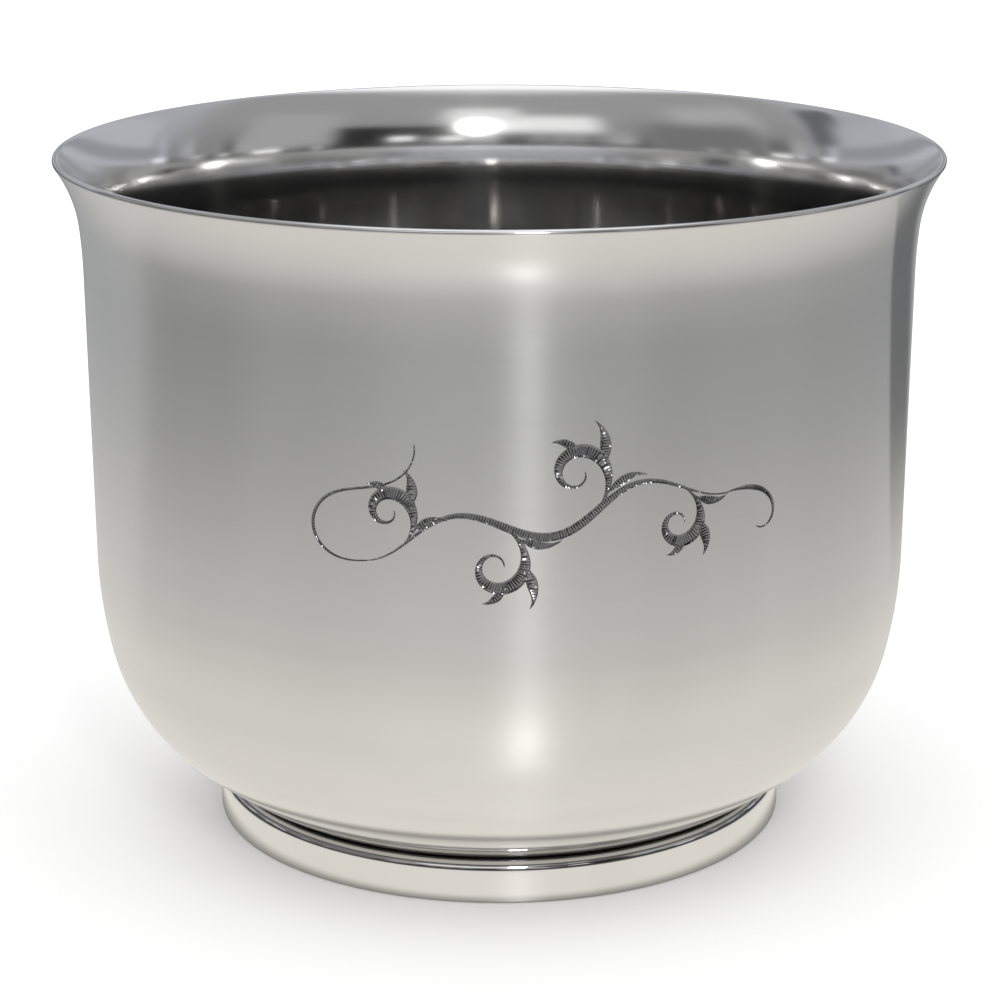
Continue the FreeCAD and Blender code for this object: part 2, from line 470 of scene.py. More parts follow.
class TurningLathe:
    """Turns a section into a surface of revolution, with one tree for every piece."""

    lump_scale: float = 260.0

    def __init__(self) -> None:
        """Writes the geometry node tree."""
        self.group = GeometryTree("turned_surface")
        g = self.group
        columns = g.size("Columns", "NodeSocketInt")
        edges = ("Window column", "Window columns", "Window row", "Window rows")
        window = [g.size(name, "NodeSocketInt") for name in edges]
        patch = g.size("Patch", "NodeSocketObject")
        uneven = g.size("Unevenness")
        finish = g.size("Finish", "NodeSocketMaterial")
        domain = {"component": "MESH"}
        count = g.value("GeometryNodeAttributeDomainSize", "Point Count", domain, {0: g.geometry()})
        grid = g.add("GeometryNodeMeshGrid", None, {"Vertices X": columns + 1, "Vertices Y": count})
        # Cutting the window gives the vertices new numbers, so each one stores its old number first.
        numbered = g.store(grid.outputs["Mesh"], "INT", NUMBER, g.value("GeometryNodeInputIndex"))
        left = self._cut_window(numbered, count, window)
        number = g.value("GeometryNodeInputNamedAttribute", 0, {"data_type": "INT"}, {"Name": NUMBER})
        row = number % count
        angle = self._whole(number, count) / columns * math.tau - FRONT_SEAM
        place = self._sample("FLOAT_VECTOR", g.value("GeometryNodeInputPosition"), row)
        radius, _, height = g.split(place)
        placed = g.set_round(left, radius, angle, height)
        run_here = g.value("GeometryNodeInputNamedAttribute", 0, {"data_type": "FLOAT"}, {"Name": RUN})
        marked = g.store(placed, "FLOAT", RUN, self._sample("FLOAT", run_here, row))
        filling = g.add("GeometryNodeObjectInfo", {"transform_space": "ORIGINAL"}, {"Object": patch})
        joined = g.add("GeometryNodeJoinGeometry", None, {0: marked})
        g.feed(joined.inputs[0], filling.outputs["Geometry"])
        whole = joined.outputs[0]
        welded = g.add("GeometryNodeMergeByDistance", None, {"Geometry": whole, "Distance": WELD})
        smooth = g.add("GeometryNodeSetShadeSmooth", None, {"Geometry": welded.outputs[0]})
        g.end(self._roughen(smooth.outputs[0], uneven), finish)

    def _sample(self, kind: str, value: Value, index: Value) -> Value:
        """A value of the section's point that has this number.

        Args:
            kind: the value's data type.
            value: what is read.
            index: the point's number.

        Returns:
            The value at that point.
        """
        return self.group.value(
            "GeometryNodeSampleIndex",
            0,
            {"data_type": kind, "domain": "POINT"},
            {"Geometry": self.group.geometry(), "Value": value, "Index": index},
        )

    @staticmethod
    def _whole(number: Value, count: Value) -> Value:
        """How many whole counts there are in a number, safe from rounding."""
        return (number / count + ROUNDING).floor()

    def _cut_window(
        self, mesh: bpy.types.NodeSocket, count: Value, window: list[Value]
    ) -> bpy.types.NodeSocket:
        """Deletes the faces of the window, which another mesh fills.

        Args:
            mesh: the grid.
            count: how many points the section has.
            window: its first column, columns, first row and rows.

        Returns:
            The grid with its window open.
        """
        g = self.group
        face = g.value("GeometryNodeInputIndex")
        row, column = face % (count - 1), self._whole(face, count - 1)
        inside = 1.0
        for place, (first, size) in ((column, window[:2]), (row, window[2:])):
            inside = (place - first + 0.5).above(0.0) * (first + size - place - 0.5).above(0.0) * inside
        rest = g.add(
            "GeometryNodeDeleteGeometry",
            {"domain": "FACE", "mode": "ALL"},
            {"Geometry": mesh, "Selection": inside},
        )
        return rest.outputs[0]

    def _roughen(self, mesh: bpy.types.NodeSocket, uneven: Value) -> bpy.types.NodeSocket:
        """Moves the surface in and out by a fixed noise.

        Args:
            mesh: the surface.
            uneven: how far it moves, in metres.

        Returns:
            The moved surface.
        """
        g = self.group
        waves = {"Scale": self.lump_scale, "Detail": 2.0}
        shift = (g.value("ShaderNodeTexNoise", 0, {"noise_dimensions": "3D"}, waves) - 0.5) * uneven
        normal = g.add("GeometryNodeInputNormal").outputs[0]
        push = g.add("ShaderNodeVectorMath", {"operation": "SCALE"}, {0: normal, "Scale": shift})
        moved = g.add("GeometryNodeSetPosition", None, {"Geometry": mesh, "Offset": push.outputs[0]})
        return moved.outputs[0]

    def turn(
        self,
        name: str,
        section: Section,
        finish: bpy.types.Material,
        columns: int,
        window: Window = Window(),
        patch: bpy.types.Object | None = None,
        uneven: float = 0.0,
    ) -> bpy.types.Object:
        """Turns one section.

        Args:
            name: the piece's name.
            section: what is turned.
            finish: its material.
            columns: how many columns of faces go round.
            window: the patch that is left out.
            patch: the mesh that fills it.
            uneven: how far the surface wanders, in metres.

        Returns:
            The piece as a plain mesh object.
        """
        sizes = {
            "Columns": columns,
            "Window column": window.first_column,
            "Window columns": window.columns,
            "Window row": window.first_row,
            "Window rows": window.rows,
            "Patch": patch,
            "Unevenness": uneven,
            "Finish": finish,
        }
        return self.group.apply(section.drawing(name + "_section"), sizes, name)


# ----------------------------------------------------------------------------------------------------------
# The engraved flourish
# ----------------------------------------------------------------------------------------------------------


def scaled(bends: tuple[float, ...], scale: float) -> tuple[float, ...]:
    """The same bends, mirrored or tightened."""
    return tuple(scale * bend for bend in bends)


@dataclass(frozen=True)
class Stroke:
    """One cut of the graver, in millimetres and degrees: a line that bends evenly between given bends."""

    start: tuple[float, float]
    heading: float
    length: float
    bends: tuple[float, ...]
    width: float
    swell: float = 0.5
    hairline: float = 0.44
    tip: float = 0.8
    tip_share: float = 0.6

    def stations(self, pitch: float) -> tuple[np.ndarray, np.ndarray, np.ndarray]:
        """Places along the stroke.

        Args:
            pitch: the distance between them.

        Returns:
            Their positions, their headings in radians, and the stroke's half width at each.
        """
        count = max(10, int(self.length / pitch))
        share = np.linspace(0.0, 1.0, count + 1)
        step = self.length / count
        bend = np.radians(np.interp(share, np.linspace(0.0, 1.0, len(self.bends)), self.bends))
        swing = np.cumsum((bend[1:] + bend[:-1]) / 2 * step)
        heading = math.radians(self.heading) + np.concatenate([[0.0], swing])
        middle = (heading[1:] + heading[:-1]) / 2
        moves = np.stack([np.cos(middle), np.sin(middle)], axis=1) * step
        place = np.array(self.start) + np.concatenate([[[0.0, 0.0]], np.cumsum(moves, axis=0)])
        rise = np.where(share < self.swell, share / self.swell, (1 - share) / (1 - self.swell))
        tip = np.clip(np.minimum(share, 1 - share) * self.length / self.tip, self.tip_share, 1.0)
        half = (self.hairline + (self.width - self.hairline) * rise * rise * (3 - 2 * rise)) / 2 * tip
        return place, heading, half

    def branch(
        self,
        share: float,
        turn: float,
        length: float,
        bends: tuple[float, ...],
        width: float,
        swell: float = 0.45,
    ) -> "Stroke":
        """A stroke that leaves this one.

        Args:
            share: how far along this one it leaves.
            turn: the angle that it leaves at.
            length: its length.
            bends: its bends.
            width: its greatest width.
            swell: where along it that is.

        Returns:
            The new stroke.
        """
        place, heading, _ = self.stations(FINE_PITCH)
        here = int(round(share * (len(place) - 1)))
        return Stroke(tuple(place[here]), math.degrees(heading[here]) + turn, length, bends, width, swell)


@dataclass(frozen=True)
class Leaf:
    """A leaf of a curl: where it leaves, how it turns and bends, and its size. Millimetres and degrees."""

    share: float
    turn: float
    length: float
    bends: tuple[float, ...]
    width: float
    swell: float

    def on(self, curl: Stroke, side: int, size: float) -> Stroke:
        """The leaf's stroke.

        Args:
            curl: the curl that it grows on.
            side: 1 or -1, the side that the curl bends to.
            size: the curl's size.

        Returns:
            The stroke.
        """
        bends = scaled(self.bends, side / size)
        return curl.branch(self.share, side * self.turn, self.length * size, bends, self.width, self.swell)


@dataclass
class Flourish:
    """A running scroll with leaves, cut into the wall: generic ornament with no letters. Millimetres."""

    stem_start: tuple[float, float] = (-50.0, -12.5)
    stem_heading: float = 9.0
    stem_length: float = 108.0
    stem_width: float = 2.5
    wave: float = 4.7
    root_length: float = 62.0
    root_bends: tuple[float, ...] = (-1.0, -5.4, -7.0, -4.8, 0.6, 5.0, 6.6)
    root_width: float = 0.95
    root_swell: float = 0.35
    tail_length: float = 28.0
    tail_bends: tuple[float, ...] = (-1.0, -4.4, -9.8, -19.0)
    tail_width: float = 1.5
    tail_swell: float = 0.3
    curls: tuple[tuple[float, int, float], ...] = (
        (0.10, 1, 0.82),
        (0.37, -1, 0.96),
        (0.62, 1, 0.98),
        (0.87, -1, 0.82),
    )
    curl_turn: float = 10.0
    curl_length: float = 44.0
    curl_bends: tuple[float, ...] = (3.0, 6.0, 8.5, 12.0, 21.0)
    curl_width: float = 3.7
    leaves: tuple[Leaf, ...] = (
        Leaf(0.30, -22, 13.5, (-2.0, 3.0, 12.0), 3.1, 0.42),
        Leaf(0.12, -30, 13.0, (1.0, -5.0, -10.0), 2.4, 0.42),
        Leaf(0.50, -28, 8.5, (-3.0, 5.0, 17.0), 2.3, 0.45),
    )
    depth: float = 0.34
    flank: float = 1.15
    pitch: float = 0.36
    reach: float = 3.0
    rocked_from: float = 0.42
    rock_places: tuple[float, ...] = (-0.66, -0.24, 0.24, 0.66)
    rock_lean: float = 0.3
    rock_ridge: float = 0.45
    rock_depths: tuple[float, float] = (0.6, 1.0)
    seed: int = 7

    def strokes(self) -> list[Stroke]:
        """Every stroke of the design, stem first.

        Returns:
            The strokes, in the order in which they are cut.
        """
        waves = scaled((1, -1, 1, -1, 1), self.wave)
        stem = Stroke(self.stem_start, self.stem_heading, self.stem_length, waves, self.stem_width)
        strokes = [stem]
        for share, side, size in self.curls:
            strokes += self._curl(stem, share, side, size)
        root = (stem.heading + 180, self.root_length, self.root_bends, self.root_width, self.root_swell)
        tail = (self.tail_length, self.tail_bends, self.tail_width, self.tail_swell)
        return [*strokes, Stroke(stem.start, *root), stem.branch(1.0, 0.0, *tail)]

    def _curl(self, stem: Stroke, share: float, side: int, size: float) -> list[Stroke]:
        """A curl that leaves the stem, with its leaves on its back.

        Args:
            stem: the stem.
            share: how far along the stem it leaves.
            side: 1 or -1, the side that it bends to.
            size: its size against the design.

        Returns:
            The curl's stroke and its leaves' strokes.
        """
        bends = scaled(self.curl_bends, side / size)
        curl = stem.branch(share, side * self.curl_turn, self.curl_length * size, bends, self.curl_width)
        return [curl, *(leaf.on(curl, side, size) for leaf in self.leaves)]

    def floor_points(self, stroke: Stroke) -> tuple[np.ndarray, np.ndarray]:
        """Points across each station of a stroke: its edges, and the places between where the graver rocks.

        Args:
            stroke: the stroke.

        Returns:
            The outline, as one closed run of points, and the points inside it.
        """
        place, heading, half = stroke.stations(self.pitch)
        across = np.stack([-np.sin(heading), np.cos(heading)], axis=1)
        left, right = place + across * half[:, None], place - across * half[:, None]
        inner = []
        for number in range(1, len(place) - 1):
            wide = half[number] > self.rocked_from
            shares = self.rock_places if wide else (0.0,)
            lean = self.rock_lean * self.pitch * (1 if number % 2 else -1) if wide else 0.0
            along = np.array([math.cos(heading[number]), math.sin(heading[number])])
            for share in shares:
                inner.append(place[number] + across[number] * half[number] * share + along * lean * share)
        return np.concatenate([left, right[::-1]]), np.array(inner)

    def depth_at(self, points: np.ndarray) -> np.ndarray:
        """How deep the engraving is at each point: the deepest of the strokes that reach it.

        Args:
            points: places on the wall.

        Returns:
            A depth for each, in millimetres.
        """
        random = np.random.default_rng(self.seed)
        depth = np.zeros(len(points))
        for stroke in self.strokes():
            place, heading, half = stroke.stations(self.pitch)
            ridges = np.where(np.arange(len(place)) % 2, 1.0, self.rock_ridge)
            rock = ridges * random.uniform(*self.rock_depths, len(place))
            low, high = place.min(axis=0) - self.reach, place.max(axis=0) + self.reach
            near = np.flatnonzero(((points > low) & (points < high)).all(axis=1))
            if not len(near):
                continue
            gap = points[near][:, None, :] - place[None, :, :]
            nearest = (gap**2).sum(axis=2).argmin(axis=1)
            here = gap[np.arange(len(near)), nearest]
            turn = heading[nearest]
            side = np.abs(-np.sin(turn) * here[:, 0] + np.cos(turn) * here[:, 1])
            along = np.abs(np.cos(turn) * here[:, 0] + np.sin(turn) * here[:, 1])
            room = np.where(along < self.pitch, half[nearest] - side, 0.0)
            cut = np.clip(room * self.flank, 0.0, self.depth) * rock[nearest]
            depth[near] = np.maximum(depth[near], np.where(room > 1e-3, cut, 0.0))
        return depth


# ----------------------------------------------------------------------------------------------------------
# Finishes
# ----------------------------------------------------------------------------------------------------------


@dataclass(frozen=True)
class Marks:
    """What a silver finish follows: the run along the section, the cuts, and marks of turning and use."""

    run: Value
    cut: Value
    smudge: Value
    lines: Value
    bands: Value
    satin: Value | float
    wear_depth: float = 0.03

    @property
    def wear(self) -> Value:
        """How much rougher or smoother use has left each place."""
        return (self.smudge - 0.5) * self.wear_depth + (self.bands - 0.5) * self.wear_depth


@dataclass(frozen=True)
class SilverFinish:
    """Polished silver plate: a mirror with a thin haze that turning lines draw out, darkened engraving, and
    painted shade inside the bowl and along a seam.

    A field that ends in _at, _from or _until is a place along the section, and 0 leaves its feature out.
    """

    name: str
    tint: tuple[float, float, float] = (0.885, 0.88, 0.87)
    mirror: float = 0.035
    haze: float = 0.34
    haze_share: float = 0.3
    inner_share: float = 0.03
    heel_share: float = 0.25
    heel_fade: float = 14 * MM
    outside_until: float = 0.0
    outside_fade: float = 2 * MM
    # Painted shade: from this place on, the colour darkens over the whole inside of the bowl.
    inside_shade_from: float = 0.0
    inside_shade_fade: float = 6 * MM
    inside_shade: float = 0.74
    brushed: float = 0.0
    brushed_fade: tuple[float, float] = (-8 * MM, 2 * MM)
    # Painted shade: a darker band along the seam where the foot meets the bowl.
    seam_shade_at: float = 0.0
    seam_shade_half: float = 1.2 * MM
    seam_shade: float = 0.42
    satin_until: float = 0.0
    satin_fade: float = 1.5 * MM
    satin: float = 0.62
    satin_roughness: float = 0.24
    line_pitch: float = 0.35 * MM
    line_depth: float = 0.006 * MM
    line_height: float = 0.5
    band_lines: int = 30
    line_roughness: float = 0.02
    satin_lines: float = 6.0
    satin_share: float = 0.35
    band_haze: float = 0.08
    smudge_scale: float = 26.0
    smudge_from: float = 0.35
    smudge_share: float = 0.25
    smudge_tone: float = 0.93
    cut_roughness: float = 0.13
    dark: tuple[float, float, float] = (0.26, 0.26, 0.27)

    def make(self) -> bpy.types.Material:
        """Builds the material.

        Returns:
            The material.
        """
        material = bpy.data.materials.new(self.name)
        material.use_nodes = True
        s = Tree(material.node_tree)
        marks = self._marks(s)
        colour, rough = self._colour(s, marks), self._roughness(marks)
        height = marks.lines * (1.0 + marks.satin * self.satin_lines)
        relief = {"Strength": self.line_height, "Distance": self.line_depth, "Height": height}
        normal = s.add("ShaderNodeBump", None, relief).outputs[0]
        mirror = self._metal(s, colour, rough, 0.0, 0.0, normal)
        hazy = self._metal(s, colour, self.haze + marks.wear, 1.0, 0.25, normal)
        mixed = s.add("ShaderNodeMixShader", None, {0: self._share_of_haze(marks), 1: mirror, 2: hazy})
        s.add("ShaderNodeOutputMaterial", None, {"Surface": mixed.outputs[0]})
        return material

    def _marks(self, s: Tree) -> Marks:
        """Reads the piece's attributes and draws its marks.

        Args:
            s: the material's tree.

        Returns:
            The marks.
        """
        run = s.value("ShaderNodeAttribute", "Fac", {"attribute_name": RUN})
        cut = s.value("ShaderNodeAttribute", "Fac", {"attribute_name": CUT})
        place = s.add("ShaderNodeTexCoord").outputs["Object"]
        cloud = {"Vector": place, "Scale": self.smudge_scale, "Detail": 3.0}
        satin = 0.0
        if self.satin_until:
            satin = 1.0 - run.rise(self.satin_until - self.satin_fade, self.satin_until)
        return Marks(
            run=run,
            cut=cut,
            smudge=s.value("ShaderNodeTexNoise", 0, None, cloud),
            lines=self._noise_1d(s, run / self.line_pitch, 2.5),
            bands=self._noise_1d(s, run / (self.band_lines * self.line_pitch), 2.0),
            satin=satin,
        )

    def _colour(self, s: Tree, marks: Marks) -> bpy.types.NodeSocket:
        """The metal's colour, from the clean silver to painted shade along the seam and inside the bowl, and
        the tarnish in its cuts.

        Args:
            s: the material's tree.
            marks: what the finish follows.

        Returns:
            The colour's socket.
        """
        smudged = (marks.smudge - self.smudge_from) * self.smudge_share
        colour = s.mix(smudged, (*self.tint, 1.0), self._deeper(self.smudge_tone))
        if self.satin_until:
            colour = s.mix(marks.satin * self.satin_share, colour, self._deeper(self.satin))
        # Painted shade: past this place the colour is darkened, over the whole inside of the bowl.
        if self.inside_shade_from:
            inside = marks.run.rise(self.inside_shade_from, self.inside_shade_from + self.inside_shade_fade)
            colour = s.mix(inside, colour, self._deeper(self.inside_shade))
        # Painted shade along the seam, broken up by the smudge noise.
        if self.seam_shade_at:
            left = marks.run.bump_at(self.seam_shade_at, self.seam_shade_half, 2 * self.seam_shade_half)
            colour = s.mix(left * (0.55 + marks.smudge * 0.6), colour, self._deeper(self.seam_shade))
        return s.mix(marks.cut, colour, (*self.dark, 1.0))

    def _roughness(self, marks: Marks) -> Value:
        """The mirror's roughness.

        Args:
            marks: what the finish follows.

        Returns:
            The roughness.
        """
        rough = self.mirror + marks.wear + (marks.lines - 0.5) * self.line_roughness
        rough = rough + marks.satin * self.satin_roughness + marks.cut * self.cut_roughness
        if self.brushed:
            start, end = self.brushed_fade
            fading = 1.0 - marks.run.rise(self.inside_shade_from + start, self.inside_shade_from + end)
            rough = rough + self.brushed * self._past_lip(marks) * fading
        return rough

    def _share_of_haze(self, marks: Marks) -> Value:
        """How much of the light the haze takes.

        Args:
            marks: what the finish follows.

        Returns:
            The share, from 0 to 1.
        """
        share = self.haze_share + (marks.bands - 0.5) * self.band_haze
        if self.satin_until:
            up = marks.run.rise(self.seam_shade_at, self.seam_shade_at + self.heel_fade)
            share = share * (self.heel_share + (1 - self.heel_share) * up)
        if self.outside_until:
            share = share * (1.0 - self._past_lip(marks) * (1.0 - self.inner_share / self.haze_share))
        return share * (1.0 - marks.cut)

    def _past_lip(self, marks: Marks) -> Value:
        """0 on the outside and 1 from the lip inwards."""
        return marks.run.rise(self.outside_until - self.outside_fade, self.outside_until)

    def _deeper(self, share: float) -> tuple[float, ...]:
        """The tint, darkened."""
        return (*(part * share for part in self.tint), 1.0)

    @staticmethod
    def _noise_1d(s: Tree, along: Value, detail: float) -> Value:
        """Noise that only changes along the section, as turning leaves it."""
        waves = {"W": along, "Scale": 1.0, "Detail": detail}
        return s.value("ShaderNodeTexNoise", 0, {"noise_dimensions": "1D"}, waves)

    @staticmethod
    def _metal(
        s: Tree, colour: object, rough: Value, stretch: float, turn: float, normal: object
    ) -> bpy.types.NodeSocket:
        """One metallic shader.

        Args:
            s: the material's tree.
            colour: the metal's colour.
            rough: its roughness.
            stretch: how far its highlights are drawn out, from 0 to 1.
            turn: which way, in turns.
            normal: the normal.

        Returns:
            The shader.
        """
        node = s.add(
            "ShaderNodeBsdfPrincipled",
            None,
            {
                "Base Color": colour,
                "Metallic": 1.0,
                "Roughness": rough,
                "Anisotropic": stretch,
                "Anisotropic Rotation": turn,
                "Normal": normal,
            },
        )
        return node.outputs[0]


@dataclass(frozen=True)
class SolderFinish:
    """Dull soft solder, wiped while it was hot."""

    name: str = "wiped_solder"
    light: tuple[float, float, float] = (0.55, 0.55, 0.54)
    dark: tuple[float, float, float] = (0.3, 0.3, 0.31)
    roughness: float = 0.38
    patch_roughness: float = 0.25
    patch_scale: float = 180.0
    grain_scale: float = 1500.0
    grain_share: float = 0.3
    relief: float = 0.1 * MM
    relief_strength: float = 0.4

    def make(self) -> bpy.types.Material:
        """Builds the material.

        Returns:
            The material.
        """
        material = bpy.data.materials.new(self.name)
        material.use_nodes = True
        s = Tree(material.node_tree)
        place = s.add("ShaderNodeTexCoord").outputs["Object"]
        cloud = {"Vector": place, "Scale": self.patch_scale, "Detail": 4.0}
        sand = {"Vector": place, "Scale": self.grain_scale, "Detail": 2.0}
        patches = s.value("ShaderNodeTexNoise", 0, None, cloud)
        height = patches + s.value("ShaderNodeTexNoise", 0, None, sand) * self.grain_share
        relief = {"Strength": self.relief_strength, "Distance": self.relief, "Height": height}
        normal = s.add("ShaderNodeBump", None, relief).outputs[0]
        metal = s.add(
            "ShaderNodeBsdfPrincipled",
            None,
            {
                "Base Color": s.mix(patches.rise(0.35, 0.65), (*self.light, 1.0), (*self.dark, 1.0)),
                "Metallic": 1.0,
                "Roughness": self.roughness + patches * self.patch_roughness,
                "Normal": normal,
            },
        )
        s.add("ShaderNodeOutputMaterial", None, {"Surface": metal.outputs[0]})
        return material


# ----------------------------------------------------------------------------------------------------------
# The bucket's pieces
# ----------------------------------------------------------------------------------------------------------


@dataclass(frozen=True)
class Slopes:
    """How far the bowl's wall leans out, and how far each arc below it turns, in degrees."""

    wall: float = 0.53
    haunch: float = 12.7
    belly: float = 37.8
    skirt: float = 7.4

    @property
    def seat(self) -> float:
        """The slope from the vertical where the foot's shoulder touches."""
        return self.wall + self.haunch + self.belly + self.skirt


@dataclass(frozen=True)
class Heel:
    """The arc of the bowl's underside that the foot lies against."""

    seat_slope: float
    seat_radius: float
    seat_height: float
    base_height: float

    @property
    def radius(self) -> float:
        """The arc's radius on the bowl's outside."""
        return (self.seat_height - self.base_height) / (1 - math.sin(math.radians(self.seat_slope)))

    @property
    def centre(self) -> tuple[float, float]:
        """The arc's centre, as a radius and a height."""
        across = self.radius * math.cos(math.radians(self.seat_slope))
        return self.seat_radius - across, self.base_height + self.radius

    def point(self, slope: float) -> tuple[float, float]:
        """Where the arc has this slope from the vertical."""
        angle = math.radians(slope)
        return self.centre[0] + self.radius * math.cos(angle), self.centre[1] - self.radius * math.sin(angle)


@dataclass
class Foot:
    """The foot: a spun ring with its stiffening wire, and the solder that holds it to the bowl."""

    lathe: TurningLathe
    radius: float = 86.3 * MM
    height: float = 12.4 * MM
    metal: float = 1.8 * MM
    shoulder: float = 3.0 * MM
    edge: float = 0.8 * MM
    flange_turn: float = 9.0
    solder_leg: float = 1.5 * MM
    solder_lumps: float = 0.25 * MM
    wire_width: float = 3.2 * MM
    wire_height: float = 3.0 * MM
    wire_round: float = 1.6 * MM
    burr: float = 0.2 * MM
    clearance: float = 5.0 * MM
    columns: int = 320

    def heel(self, seat_slope: float) -> Heel:
        """The seat that this foot gives a bowl whose flat bottom clears the table.

        Args:
            seat_slope: the bowl's slope where it meets the foot's shoulder.

        Returns:
            The bowl's heel.
        """
        angle = math.radians(seat_slope)
        radius = self.radius - self.shoulder * (1 + math.cos(angle))
        height = self.height - self.shoulder * (1 - math.sin(angle))
        return Heel(seat_slope, radius, height, self.clearance)

    def ring(self, heel: Heel) -> bpy.types.Object:
        """The ring: band, shoulder and the flange that lies against the bowl.

        Args:
            heel: the bowl's heel.

        Returns:
            The ring.
        """
        turn = 180 - heel.seat_slope
        section = Section(self.radius - self.metal + self.burr, 0.0)
        section.line(self.metal - self.edge - self.burr, 2)
        section.arc(Side.LEFT, self.edge, 90, 8)
        section.line(self.height - self.shoulder - self.edge, 6)
        section.arc(Side.LEFT, self.shoulder, turn, 24)
        seam = section.runs()[-1]
        back = heel.radius + self.metal
        section.arc(Side.RIGHT, heel.radius, self.flange_turn - math.degrees(self.burr / heel.radius), 6)
        section.arc(Side.LEFT, self.burr, 90, 3)
        section.line(self.metal - 2 * self.burr)
        section.arc(Side.LEFT, self.burr, 90, 3)
        section.arc(Side.LEFT, back, self.flange_turn - math.degrees(self.burr / back), 6)
        section.arc(Side.RIGHT, self.shoulder - self.metal, turn, 12)
        section.line(section.height - self.burr, 4)
        section.arc(Side.LEFT, section.height, 90, 4)
        section.close()
        # Painted shade along the ring's seam with the bowl.
        finish = SilverFinish("foot_silver", haze_share=0.07, seam_shade_at=seam, seam_shade_half=2.0 * MM)
        return self._dress("foot_ring", section, finish.make())

    def solder(self, heel: Heel) -> bpy.types.Object:
        """The solder fillet in the corner behind the flange.

        Args:
            heel: the bowl's heel.

        Returns:
            The fillet.
        """
        flange_slope = heel.seat_slope + self.flange_turn
        turn = math.degrees(self.solder_leg / heel.radius)
        start, corner = heel.point(flange_slope + turn), heel.point(flange_slope)
        slope = math.radians(flange_slope)
        toe = (corner[0] + self.solder_leg * math.cos(slope), corner[1] - self.solder_leg * math.sin(slope))
        section = Section(*start, math.degrees(math.atan2(toe[1] - start[1], toe[0] - start[0])))
        section.line(math.dist(start, toe), 6)
        section.heading = 180 - flange_slope
        section.line(self.solder_leg, 3)
        section.heading = 270 - flange_slope
        section.arc(Side.RIGHT, heel.radius, turn, 4).close()
        return self._dress("foot_solder_fillet", section, SolderFinish().make(), self.solder_lumps)

    def wire(self) -> bpy.types.Object:
        """The wire inside the band's lower edge.

        Returns:
            The wire.
        """
        soft = self.burr
        section = Section(self.radius - self.metal - self.wire_width + soft, 0.0)
        section.line(self.wire_width - 2 * soft, 3).arc(Side.LEFT, soft, 90, 4)
        section.line(self.wire_height - 2 * soft, 3).arc(Side.LEFT, soft, 90, 4)
        section.line(self.wire_width - soft - self.wire_round, 2).arc(Side.LEFT, self.wire_round, 90, 10)
        section.line(self.wire_height - self.wire_round - soft, 2).arc(Side.LEFT, soft, 90, 4).close()
        finish = SilverFinish("wire_silver", mirror=0.2, haze=0.45, haze_share=0.5, line_height=0.9)
        return self._dress("foot_base_wire", section, finish.make())

    def _dress(
        self, node: str, section: Section, finish: bpy.types.Material, uneven: float = 0.0
    ) -> bpy.types.Object:
        """Turns a section and puts it in its node's place."""
        piece = self.lathe.turn(node + "_finished", section, finish, self.columns, uneven=uneven)
        return stand_for(piece, node)


